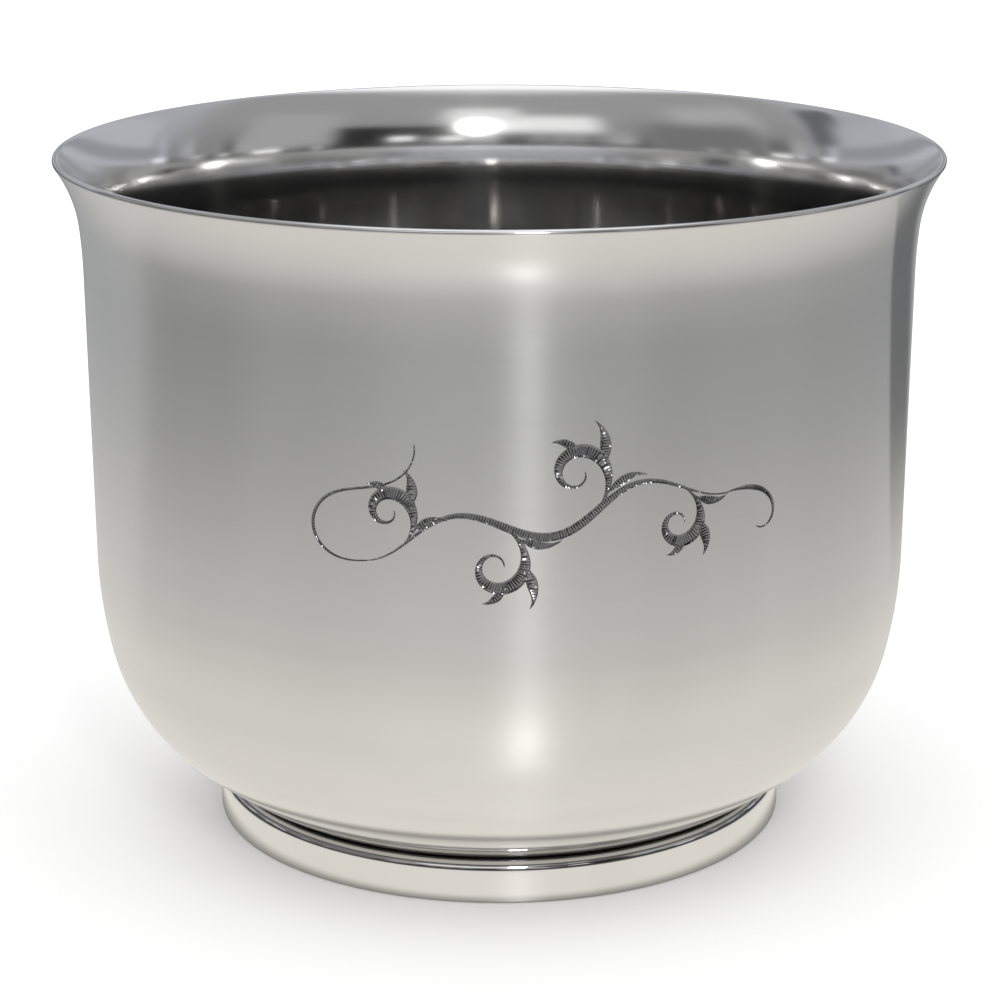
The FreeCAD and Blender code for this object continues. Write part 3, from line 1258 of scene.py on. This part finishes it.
@dataclass
class Bowl:
    """The spun bowl, drawn from its flat bottom up to the lip and down inside, with its engraving."""

    lathe: TurningLathe
    slopes: Slopes
    heel: Heel
    flourish: Flourish
    body_radius: float = 121.55 * MM
    top: float = 202.6 * MM
    metal: float = 1.9 * MM
    haunch_ratio: float = 2.42
    skirt_ratio: float = 3.04
    throat_radius: float = 141.0 * MM
    throat_turn: float = 5.65
    lip_radius: float = 40.8 * MM
    lip_turn: float = 27.9
    columns: int = 320
    wall_rows: int = 26
    engraving_angle: float = 7.2
    engraving_height: float = 124.5 * MM
    margin: float = 3.0 * MM
    deepest_share: float = 0.6
    grid_gap: float = 0.7 * MM
    centre_hole: float = 0.01 * MM
    cut_from: float = 0.004 * MM
    wall_row: int = field(init=False)
    wall_foot: tuple[float, float] = field(init=False)
    wall_run: float = field(init=False)
    wall_length: float = field(init=False)
    lip_run: float = field(init=False)
    inner_run: float = field(init=False)

    @property
    def belly_radius(self) -> float:
        """The belly's radius, which takes the bowl from the wall in to the heel.

        Returns:
            The radius on the outside.
        """
        turns = [self.slopes.wall, self.slopes.haunch, self.slopes.belly, self.slopes.skirt]
        wall, haunch, belly, seat = (math.cos(math.radians(sum(turns[: n + 1]))) for n in range(4))
        swing = self.haunch_ratio * (wall - haunch) + haunch - belly + self.skirt_ratio * (belly - seat)
        return (self.body_radius - self.heel.seat_radius) / swing

    def section(self) -> Section:
        """Draws the whole section and notes where the wall, the lip and the inside start.

        Returns:
            The section.
        """
        heel, slopes, belly = self.heel, self.slopes, self.belly_radius
        heel_turn = 90 - heel.seat_slope
        out = Section(0.0, heel.base_height)
        out.line(heel.centre[0], 7).arc(Side.LEFT, heel.radius, heel_turn, 10)
        out.arc(Side.LEFT, belly * self.skirt_ratio, slopes.skirt, 8)
        out.arc(Side.LEFT, belly, slopes.belly, 18)
        out.arc(Side.LEFT, belly * self.haunch_ratio, slopes.haunch, 9)
        self.wall_row = len(out.points) - 1
        self.wall_foot = (out.radius, out.height)
        self.wall_run = out.runs()[-1]
        slope = math.radians(slopes.wall)
        throat = slope + math.radians(self.throat_turn)
        lip = throat + math.radians(self.lip_turn)
        flare = self.throat_radius * (math.sin(throat) - math.sin(slope))
        flare += self.lip_radius * (math.sin(lip) - math.sin(throat))
        flare += self.metal / 2 * (1 + math.sin(lip))
        self.wall_length = (self.top - flare - out.height) / math.cos(slope)
        out.line(self.wall_length, self.wall_rows)
        out.arc(Side.RIGHT, self.throat_radius, self.throat_turn, 7)
        out.arc(Side.RIGHT, self.lip_radius, self.lip_turn, 14)
        self.lip_run = out.runs()[-1]
        out.arc(Side.LEFT, self.metal / 2, 180, 12)
        out.arc(Side.LEFT, self.lip_radius + self.metal, self.lip_turn, 14)
        out.arc(Side.LEFT, self.throat_radius + self.metal, self.throat_turn, 7)
        self.inner_run = out.runs()[-1]
        out.line(self.wall_length, 8)
        out.arc(Side.RIGHT, belly * self.haunch_ratio - self.metal, slopes.haunch, 9)
        out.arc(Side.RIGHT, belly - self.metal, slopes.belly, 18)
        out.arc(Side.RIGHT, belly * self.skirt_ratio - self.metal, slopes.skirt, 8)
        out.arc(Side.RIGHT, heel.radius - self.metal, heel_turn, 10)
        out.line(out.radius - self.centre_hole, 7)
        out.line(out.radius)
        return out

    def window(self, points: np.ndarray) -> Window:
        """The columns and rows of the wall that the engraving needs, with a margin.

        Args:
            points: the strokes' points, in metres along the wall's girth and up from its foot.

        Returns:
            The window.
        """
        step = math.tau / self.columns * self.wall_foot[0]
        rise = self.wall_length / self.wall_rows
        half = FRONT_SEAM * self.wall_foot[0]
        low, high = points.min(axis=0) - self.margin, points.max(axis=0) + self.margin
        left, right = math.floor((low[0] + half) / step), math.ceil((high[0] + half) / step)
        bottom, top = math.floor(low[1] / rise), math.ceil(high[1] / rise)
        return Window(left, right - left, self.wall_row + bottom, top - bottom)

    def engraved_patch(self, finish: bpy.types.Material) -> tuple[bpy.types.Object, Window]:
        """The window's own mesh, drawn flat with the strokes sunk in it, then laid on the wall.

        Args:
            finish: the bowl's material.

        Returns:
            The patch and the window that it fills.
        """
        girth, foot = self.wall_foot
        centre = np.array([math.radians(self.engraving_angle) * girth, self.engraving_height - foot])
        outlines, inner = [], []
        for stroke in self.flourish.strokes():
            outline, floor = self.flourish.floor_points(stroke)
            outlines.append(outline * MM + centre)
            inner.append(floor * MM + centre)
        window = self.window(np.concatenate(outlines))
        step = math.tau / self.columns * girth
        rise = self.wall_length / self.wall_rows
        across = (np.arange(window.columns + 1) + window.first_column) * step - FRONT_SEAM * girth
        up = (np.arange(window.rows + 1) + window.first_row - self.wall_row) * rise
        points, edges = self._frame(across, up)
        grid = np.array([(x, y) for x in across[1:-1] for y in up[1:-1]])
        cutting = np.concatenate(inner + outlines)
        clear = [point for point in grid if ((cutting - point) ** 2).sum(axis=1).min() > self.grid_gap**2]
        points += [tuple(point) for point in clear]
        points += [tuple(point) for point in np.concatenate(inner)]
        for outline in outlines:
            first, count = len(points), len(outline)
            points += [tuple(point) for point in outline]
            edges += [(first + n, first + (n + 1) % count) for n in range(count)]
        flat = delaunay_2d_cdt([Vector(point) / MM for point in points], edges, [], 0, 1e-4)
        verts, faces = np.array([tuple(point) for point in flat[0]]), [list(face) for face in flat[2]]
        depth = self.flourish.depth_at(verts - centre / MM)
        LOG.info("engraving: %d points, %d faces, %.2f mm deep", len(verts), len(faces), depth.max())
        mesh = bpy.data.meshes.new("engraved_patch")
        mesh.from_pydata([(x * MM, y * MM, -d * MM) for (x, y), d in zip(verts, depth)], [], faces)
        drawn = bpy.data.objects.new("engraved_patch", mesh)
        bpy.context.scene.collection.objects.link(drawn)
        return self._lay_on_wall(drawn, finish), window

    @staticmethod
    def _frame(
        across: np.ndarray, up: np.ndarray
    ) -> tuple[list[tuple[float, float]], list[tuple[int, int]]]:
        """The window's border as a closed run of the wall's own corners.

        Args:
            across: the columns' places.
            up: the rows' places.

        Returns:
            The border points and the edges between them.
        """
        points = [(x, up[0]) for x in across[:-1]] + [(across[-1], y) for y in up[:-1]]
        points += [(x, up[-1]) for x in across[:0:-1]] + [(across[0], y) for y in up[:0:-1]]
        return points, [(n, (n + 1) % len(points)) for n in range(len(points))]

    def _lay_on_wall(self, drawn: bpy.types.Object, finish: bpy.types.Material) -> bpy.types.Object:
        """Bends the flat patch round the tapered wall.

        Args:
            drawn: the flat patch; it is removed.
            finish: the bowl's material.

        Returns:
            The patch in its place.
        """
        g = GeometryTree("laid_on_wall")
        foot_radius, foot_height = g.size("Wall radius"), g.size("Wall height")
        slope, run = g.size("Wall slope"), g.size("Run")
        dressed = g.size("Finish", "NodeSocketMaterial")
        x, y, sunk = g.split(g.value("GeometryNodeInputPosition"))
        angle = x / foot_radius
        radius = foot_radius + y * slope.sin() + sunk * slope.cos()
        height = foot_height + y * slope.cos() - sunk * slope.sin()
        marked = g.store(g.geometry(), "FLOAT", RUN, run + y)
        g.end(g.set_round(marked, radius, angle, height), dressed)
        sizes = {
            "Wall radius": self.wall_foot[0],
            "Wall height": self.wall_foot[1],
            "Wall slope": math.radians(self.slopes.wall),
            "Run": self.wall_run,
            "Finish": finish,
        }
        return g.apply(drawn, sizes, "engraved_patch_laid")

    def build(self) -> bpy.types.Object:
        """Makes the bowl and sets the normals that its mirror finish needs.

        Returns:
            The bowl.
        """
        section = self.section()
        seat_run = self.heel.centre[0] + self.heel.radius * math.radians(90 - self.heel.seat_slope)
        finish = SilverFinish(
            "bowl_silver",
            satin_until=seat_run - 4 * MM,
            outside_until=self.lip_run + 3 * MM,
            # painted shade over the bowl's inside, from the inner throat on
            inside_shade_from=self.inner_run - 8 * MM,
            brushed=0.09,
            # painted shade along the seam with the foot
            seam_shade_at=seat_run,
        ).make()
        patch, window = self.engraved_patch(finish)
        bowl = self.lathe.turn("bowl_finished", section, finish, self.columns, window, patch)
        bpy.data.objects.remove(patch)
        self._true_normals(bowl.data)
        return stand_for(bowl, "bowl")

    def _true_normals(self, mesh: bpy.types.Mesh) -> None:
        """Gives the wall the normals of its cone and the cuts their own facets, and marks the cuts.

        Args:
            mesh: the bowl's mesh, which is changed.
        """
        place = np.empty(len(mesh.vertices) * 3)
        mesh.vertices.foreach_get("co", place)
        place = place.reshape(-1, 3)
        corner = np.empty(len(mesh.loops), dtype=np.int64)
        mesh.loops.foreach_get("vertex_index", corner)
        sizes = np.array([polygon.loop_total for polygon in mesh.polygons])
        face_normal = np.array([polygon.normal[:] for polygon in mesh.polygons])
        normal = np.empty(len(mesh.loops) * 3)
        mesh.corner_normals.foreach_get("vector", normal)
        normal = normal.reshape(-1, 3)
        slope = math.radians(self.slopes.wall)
        girth = np.hypot(place[:, 0], place[:, 1])
        wall = self.wall_foot[0] + (place[:, 2] - self.wall_foot[1]) * math.tan(slope)
        sunk = wall - girth
        top = self.wall_foot[1] + self.wall_length * math.cos(slope)
        outside = sunk < self.deepest_share * self.metal
        on_wall = (place[:, 2] > self.wall_foot[1]) & (place[:, 2] < top) & outside
        cut_vertex = on_wall & (sunk > self.cut_from)
        owner = np.repeat(np.arange(len(sizes)), sizes)
        cut_face = np.zeros(len(sizes), dtype=bool)
        np.logical_or.at(cut_face, owner, cut_vertex[corner])
        cone = place / girth.clip(1e-9)[:, None] * [1.0, 1.0, 0.0]
        cone = cone * math.cos(slope) - np.array([0.0, 0.0, math.sin(slope)])
        smooth = on_wall[corner] & ~cut_face[owner]
        normal[smooth] = cone[corner[smooth]]
        facets = cut_face[owner]
        normal[facets] = face_normal[owner[facets]]
        mesh.normals_split_custom_set(normal.tolist())
        mesh.attributes.new(CUT, "FLOAT", "CORNER").data.foreach_set("value", facets.astype(float))
        LOG.info("bowl: %d faces, %d of them cut", len(sizes), int(cut_face.sum()))


def stand_for(piece: bpy.types.Object, node: str) -> bpy.types.Object:
    """Puts a finished piece in a CAD node's place.

    Args:
        piece: the finished piece.
        node: the node that it stands for.

    Returns:
        The piece.
    """
    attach(piece, BODY)
    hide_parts(node)
    triangles = sum(len(polygon.vertices) - 2 for polygon in piece.data.polygons)
    LOG.info("%s: %d triangles", piece.name, triangles)
    return piece


# ----------------------------------------------------------------------------------------------------------
# The studio
# ----------------------------------------------------------------------------------------------------------


@dataclass(frozen=True)
class Softbox:
    """A round lamp seen from the bucket: its direction and apparent size in degrees, and its brightness."""

    name: str
    azimuth: float
    elevation: float
    width: float
    height: float
    brightness: float
    distance: float = 0.9
    aim_height: float = 0.12

    def light(self) -> None:
        """Makes the lamp, which the lens doesn't see."""
        turn, lift = math.radians(self.azimuth), math.radians(self.elevation)
        out = (math.sin(turn) * math.cos(lift), -math.cos(turn) * math.cos(lift), math.sin(lift))
        toward = Vector(out)
        lamp = bpy.data.lights.new(self.name, "AREA")
        lamp.shape = "ELLIPSE"
        lamp.size = 2 * self.distance * math.tan(math.radians(self.width / 2))
        lamp.size_y = 2 * self.distance * math.tan(math.radians(self.height / 2))
        face = math.pi / 4 * lamp.size * lamp.size_y
        lamp.energy = self.brightness * math.pi * face
        stand = bpy.data.objects.new(self.name, lamp)
        stand.location = toward * self.distance + Vector((0, 0, self.aim_height))
        stand.rotation_euler = toward.to_track_quat("Z", "Y").to_euler()
        stand.visible_camera = False
        bpy.context.scene.collection.objects.link(stand)


@dataclass(frozen=True)
class Panel:
    """A paler or darker patch of the room that the metal mirrors: its middle and half sizes in degrees."""

    azimuth: float
    elevation: float
    half_width: float
    half_height: float
    level: float
    soft: float = 2.0

    def over(self, level: Value, azimuth: Value, elevation: Value) -> Value:
        """The room's brightness with this panel in it.

        Args:
            level: the brightness so far.
            azimuth: the direction's azimuth in degrees.
            elevation: the direction's elevation in degrees.

        Returns:
            The brightness.
        """
        mask = azimuth.bump_at(self.azimuth, self.half_width, self.soft)
        mask = mask * elevation.bump_at(self.elevation, self.half_height, self.soft)
        return level + mask * (self.level - level)


@dataclass(frozen=True)
class Tabletop:
    """The tabletop as the metal mirrors it: a glowing sheet with a painted pool of light, bright and warm
    close by, duller and cooler further out, with painted shadow round the foot and over a band of azimuths.
    """

    size: float = 12.0
    drop: float = 0.2 * MM
    far_level: float = 0.41
    glows: tuple[tuple[float, float, float, float], ...] = (
        (2, 12, 38, 0.06),
        (-82, 8, 18, -0.06),
        (-130, 18, 16, 0.12),
        (165, 10, 8, 0.1),
    )
    light_pool_reach: float = 0.46
    light_pool_power: float = 2.6
    warm: tuple[float, float, float, float] = (1.0, 0.965, 0.88, 1.0)
    cool: tuple[float, float, float, float] = (0.98, 0.99, 1.0, 1.0)
    shade: float = 0.6
    shade_starts: tuple[float, float] = (124.5, 127.5)
    shade_ends: tuple[float, float] = (143.0, 155.0)
    shade_away: tuple[float, float] = (0.25, 0.6)
    contact_shadow: tuple[float, float] = (0.086, 0.094)
    contact_shadow_level: float = 0.3
    gloss: float = 0.1
    gloss_roughness: float = 0.31

    def finish(self, room_light: float) -> bpy.types.Material:
        """Builds the material.

        Args:
            room_light: the brightness of the whole room.

        Returns:
            The material.
        """
        material = bpy.data.materials.new("mirrored_tabletop")
        material.use_nodes = True
        s = Tree(material.node_tree)
        x, y, _ = s.split(s.add("ShaderNodeTexCoord").outputs["Object"])
        away, azimuth = (x * x + y * y) ** 0.5, x.direction(-y)
        # Painted pool of light: the glow is brightest close to the bucket.
        light_pool = (-((away / self.light_pool_reach) ** self.light_pool_power)).exp()
        far = self.far_level
        for middle, half, soft, change in self.glows:
            far = far + change * azimuth.bump_at(middle, half, soft)
        # Painted shadow over a band of azimuths, further out.
        shade = azimuth.rise(*self.shade_starts) * (1.0 - azimuth.rise(*self.shade_ends))
        shade = shade * away.rise(*self.shade_away)
        # Painted shadow in a narrow ring close round the foot.
        contact_shadow = self.contact_shadow_level + (1 - self.contact_shadow_level) * away.rise(*self.contact_shadow)
        level = (far + (1.0 - far) * light_pool) * (1.0 - shade * self.shade) * contact_shadow * room_light
        colour = s.mix(light_pool, self.cool, self.warm)
        glow = s.add("ShaderNodeEmission", None, {"Color": colour, "Strength": level})
        sheen = {"Color": (self.gloss, self.gloss, self.gloss, 1.0), "Roughness": self.gloss_roughness}
        gloss = s.add("ShaderNodeBsdfGlossy", None, sheen)
        both = s.add("ShaderNodeAddShader", None, {0: glow.outputs[0], 1: gloss.outputs[0]})
        s.add("ShaderNodeOutputMaterial", None, {"Surface": both.outputs[0]})
        return material


@dataclass(frozen=True)
class Room:
    """The room as the metal mirrors it: a grey ceiling, paler high up, over a dark band at eye level."""

    radius: float = 1.0
    eye_level: float = 0.19
    columns: int = 64
    rows: int = 40
    panels: tuple[Panel, ...] = (
        Panel(-11, 27, 17, 3, 1.2, 10.0),
        Panel(6, 37, 8, 2, 1.0, 9.0),
        Panel(-76, 33, 10, 5, 0.56, 12.0),
        Panel(-68, 16, 14, 7, 0.24, 12.0),
        Panel(-118, 27, 5, 9, 0.17, 5.0),
        Panel(-140, 15, 14, 8, 0.6, 10.0),
        Panel(36, 20, 20, 3.5, 0.04, 3.5),
        Panel(46, 15, 7, 8, 0.02, 4.0),
        Panel(31, 13, 3.4, 1.8, 1.5, 1.0),
        Panel(15, 12, 3.0, 1.6, 1.4, 1.0),
        Panel(70, 24, 12, 10, 0.5, 9.0),
        Panel(152, 16, 24, 11, 0.66, 8.0),
        Panel(-165, 16, 12, 11, 0.66, 8.0),
        Panel(180, 11.5, 58, 1.5, 0.42, 3.5),
        Panel(-180, 11.5, 58, 1.5, 0.42, 3.5),
    )
    spark_elevation: float = 7.5
    sparks: tuple[tuple[float, float, float], ...] = (
        (-116, 2.4, 1.3),
        (-104, 1.0, 0.9),
        (-96, 3.2, 1.6),
        (-81, 1.2, 0.8),
        (-70, 0.8, 0.7),
        (59, 1.0, 0.8),
        (77, 4.0, 1.7),
        (93, 1.0, 1.0),
        (104, 1.6, 0.8),
        (121, 2.2, 1.4),
    )
    spark_half_height: float = 0.5
    spark_soft: float = 1.6
    behind_half: float = 60.0
    behind_soft: float = 20.0
    bar_scale: float = 0.09
    zenith: tuple[float, float] = (56.0, 70.0)
    zenith_level: float = 1.05
    plain: tuple[float, float, float, float] = (0.99, 0.99, 1.0, 1.0)
    cool: tuple[float, float, float, float] = (0.94, 0.96, 1.04, 1.0)

    def dome(self) -> bpy.types.Object:
        """The room's shell: half a sphere that stands on the tabletop.

        Returns:
            The shell.
        """
        mesh = bpy.data.meshes.new("mirrored_room")
        section = Section(0.0, self.radius, 0.0)
        section.arc(Side.RIGHT, self.radius, 100, self.rows)
        count = self.columns
        verts = [
            (r * math.sin(math.tau * n / count), -r * math.cos(math.tau * n / count), z)
            for r, z in section.points
            for n in range(count)
        ]
        faces = []
        for row in range(self.rows):
            low, high = row * count, (row + 1) * count
            for n in range(count):
                beside = (n + 1) % count
                faces.append((low + n, low + beside, high + beside, high + n))
        mesh.from_pydata(verts, [], faces)
        mesh.shade_smooth()
        room = bpy.data.objects.new("mirrored_room", mesh)
        bpy.context.scene.collection.objects.link(room)
        return room

    def finish(self, room_light: float) -> bpy.types.Material:
        """Builds the material.

        Args:
            room_light: the brightness of the whole room.

        Returns:
            The material.
        """
        material = bpy.data.materials.new("mirrored_room")
        material.use_nodes = True
        s = Tree(material.node_tree)
        x, y, z = s.split(s.add("ShaderNodeTexCoord").outputs["Object"])
        azimuth = x.direction(-y)
        elevation = (z - self.eye_level).direction((x * x + y * y) ** 0.5)
        back = (self.behind_half, self.behind_soft)
        behind = azimuth.bump_at(180, *back) + azimuth.bump_at(-180, *back)
        waves = {"W": azimuth, "Scale": self.bar_scale, "Detail": 1.0}
        bars = s.value("ShaderNodeTexNoise", 0, {"noise_dimensions": "1D"}, waves)
        level = self._plain_level(elevation, behind, bars)
        for panel in self.panels:
            level = panel.over(level, azimuth, elevation)
        for middle, half_width, brightness in self.sparks:
            size = (half_width, self.spark_half_height)
            spark = Panel(middle, self.spark_elevation, *size, brightness, self.spark_soft)
            level = spark.over(level, azimuth, elevation)
        level = (level + elevation.rise(*self.zenith) * self.zenith_level) * room_light
        colour = s.mix(behind, self.plain, self.cool)
        glow = s.add("ShaderNodeEmission", None, {"Color": colour, "Strength": level})
        s.add("ShaderNodeOutputMaterial", None, {"Surface": glow.outputs[0]})
        return material

    @staticmethod
    def _plain_level(elevation: Value, behind: Value, bars: Value) -> Value:
        """The room's brightness before its panels: dark at eye level, with upright bars just above it.

        Args:
            elevation: the direction's elevation in degrees.
            behind: 1 in the half of the room behind the bucket.
            bars: noise that changes with the azimuth only.

        Returns:
            The brightness.
        """
        level = 0.04 + 0.3 * elevation.rise(4, 11) + 0.08 * elevation.rise(15, 40)
        level = level + 0.16 * behind * elevation.rise(-2, 6)
        level = level + 0.24 * (1.0 - elevation.rise(-9, -4))
        barred = 1.3 * elevation.rise(-4, 2) * (1.0 - elevation.rise(8, 26))
        return level * (1.0 + (bars.rise(0.35, 0.65) - 0.5) * barred)


@dataclass
class Studio:
    """A pale floor, a soft lamp, and the tabletop and the room that the polished metal mirrors."""

    floor_size: float = 12.0
    floor_tone: float = 0.93
    sky: float = 1.3
    camera_place: tuple[float, float, float] = (0.0002, -0.845, 0.340)
    camera_pitch: float = 16.197
    lens: float = 104.2
    sensor: float = 36.0
    room_light: float = 0.77
    glossy_bounces: int = 10
    lamps: tuple[Softbox, ...] = (Softbox("key_lamp", 7.5, 28, 7.0, 14.0, 15.0),)
    tabletop: Tabletop = Tabletop()
    room: Room = Room()

    def build(self) -> None:
        """Makes everything that isn't the bucket."""
        self._floor()
        table = self._square("mirrored_tabletop", self.tabletop.size, -self.tabletop.drop)
        self._only_mirrored(table, self.tabletop.finish(self.room_light))
        self._only_mirrored(self.room.dome(), self.room.finish(self.room_light))
        for lamp in self.lamps:
            lamp.light()
        self._surround()
        self._camera()

    @staticmethod
    def _square(name: str, size: float, height: float) -> bpy.types.Object:
        """A flat square, level with the given height.

        Args:
            name: the square's name.
            size: its side.
            height: its height.

        Returns:
            The square.
        """
        mesh = bpy.data.meshes.new(name)
        half = size / 2
        corners = ((-half, -half), (half, -half), (half, half), (-half, half))
        mesh.from_pydata([(x, y, height) for x, y in corners], [], [(0, 1, 2, 3)])
        plate = bpy.data.objects.new(name, mesh)
        bpy.context.scene.collection.objects.link(plate)
        return plate

    def _floor(self) -> None:
        """The floor that the lens sees, which is clear from below."""
        floor = self._square("floor", self.floor_size, 0.0)
        floor.visible_glossy = False
        material = bpy.data.materials.new("pale_floor")
        material.use_nodes = True
        s = Tree(material.node_tree)
        tone = (self.floor_tone, self.floor_tone, self.floor_tone, 1.0)
        chalk = s.add("ShaderNodeBsdfDiffuse", None, {"Color": tone})
        below = s.add("ShaderNodeNewGeometry").outputs["Backfacing"]
        clear = s.add("ShaderNodeBsdfTransparent")
        both = s.add("ShaderNodeMixShader", None, {0: below, 1: chalk.outputs[0], 2: clear.outputs[0]})
        s.add("ShaderNodeOutputMaterial", None, {"Surface": both.outputs[0]})
        floor.data.materials.append(material)

    @staticmethod
    def _only_mirrored(stand: bpy.types.Object, finish: bpy.types.Material) -> None:
        """Gives a stage piece its finish, and leaves it to be seen in polished metal and nowhere else.

        Args:
            stand: the stage piece.
            finish: its material.
        """
        stand.data.materials.append(finish)
        stand.visible_camera = False
        stand.visible_diffuse = False
        stand.visible_shadow = False
        stand.visible_transmission = False
        stand.visible_volume_scatter = False

    def _surround(self) -> None:
        """A plain white surround."""
        world = bpy.data.worlds.new("white_surround")
        bpy.context.scene.world = world
        world.use_nodes = True
        s = Tree(world.node_tree)
        light = s.add("ShaderNodeBackground", None, {"Color": (1.0, 1.0, 1.0, 1.0), "Strength": self.sky})
        s.add("ShaderNodeOutputWorld", None, {"Surface": light.outputs[0]})

    def _camera(self) -> None:
        """The camera, a little above the lip and looking down into the bowl."""
        lens = bpy.data.cameras.new("camera")
        lens.lens = self.lens
        lens.sensor_width = self.sensor
        lens.clip_end = 50.0
        camera = bpy.data.objects.new("camera", lens)
        camera.location = self.camera_place
        camera.rotation_euler = (math.radians(90 - self.camera_pitch), 0.0, 0.0)
        bpy.context.scene.collection.objects.link(camera)
        bpy.context.scene.camera = camera
        bpy.context.scene.view_settings.view_transform = "Standard"
        bpy.context.scene.cycles.glossy_bounces = self.glossy_bounces


def main() -> None:
    """Builds the bucket, then the studio round it."""
    logging.basicConfig(level=logging.INFO, format="%(name)s: %(message)s")
    lathe, slopes = TurningLathe(), Slopes()
    foot = Foot(lathe)
    heel = foot.heel(slopes.seat)
    bowl = Bowl(lathe, slopes, heel, Flourish())
    for piece in (bowl.build(), foot.ring(heel), foot.solder(heel), foot.wire()):
        LOG.info("made %s", piece.name)
    Studio().build()


if __name__ == "__main__":
    main()
